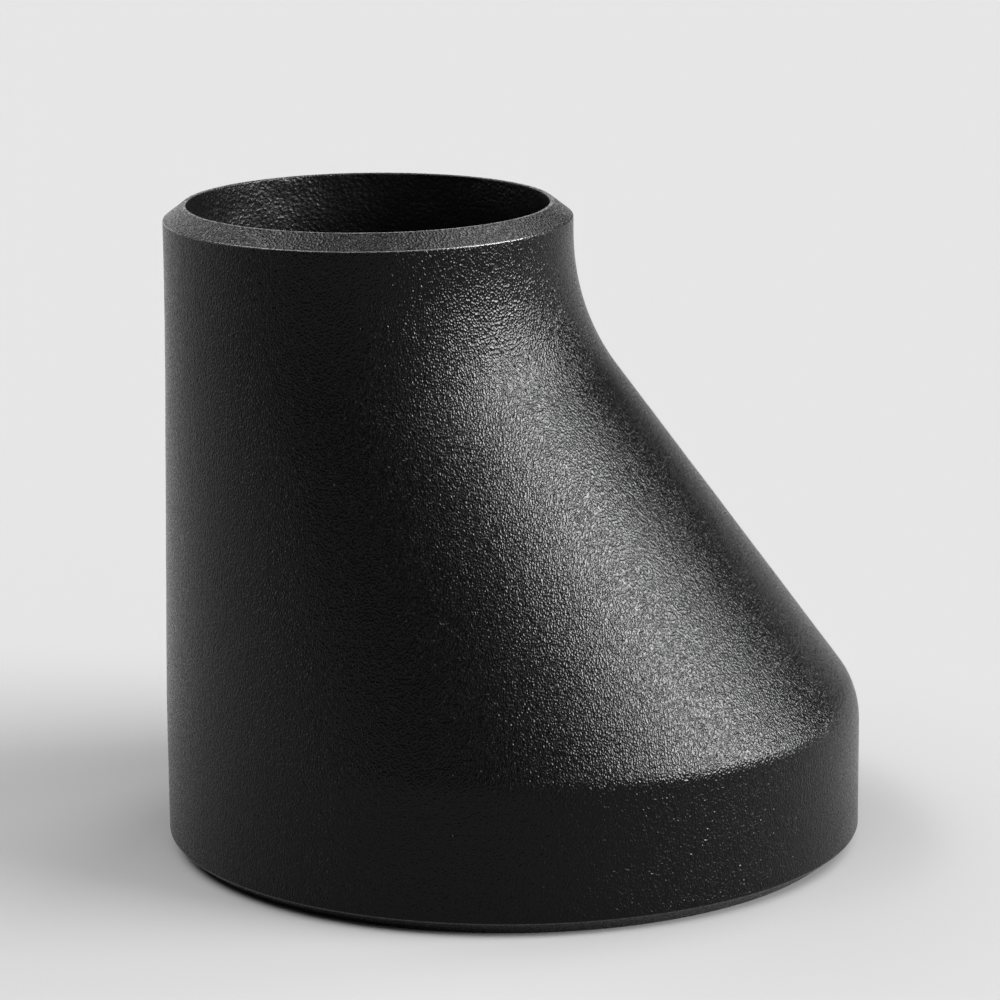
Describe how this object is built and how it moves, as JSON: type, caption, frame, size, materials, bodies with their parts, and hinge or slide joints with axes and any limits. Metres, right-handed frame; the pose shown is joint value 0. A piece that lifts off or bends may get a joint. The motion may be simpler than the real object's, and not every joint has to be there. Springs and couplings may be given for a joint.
{
  "type": "eccentric reducer",
  "caption": "Seamless butt-weld pipe reducer, flat along one side and sloping in on the other, with a weld bevel at each end.",
  "frame": {"origin": "centre of the large end's face, on the plane of its root face", "axes": "+Z from the large end to the small end, -X towards the flat side, +X towards the sloping side"},
  "size_m": [0.133, 0.133, 0.125],
  "materials": {
    "black_paint": "semi-gloss black paint over shot-blasted steel, with a fine grain"
  },
  "bodies": {
    "root": {"reducer_body": "black_paint"}
  },
  "joints": []
}
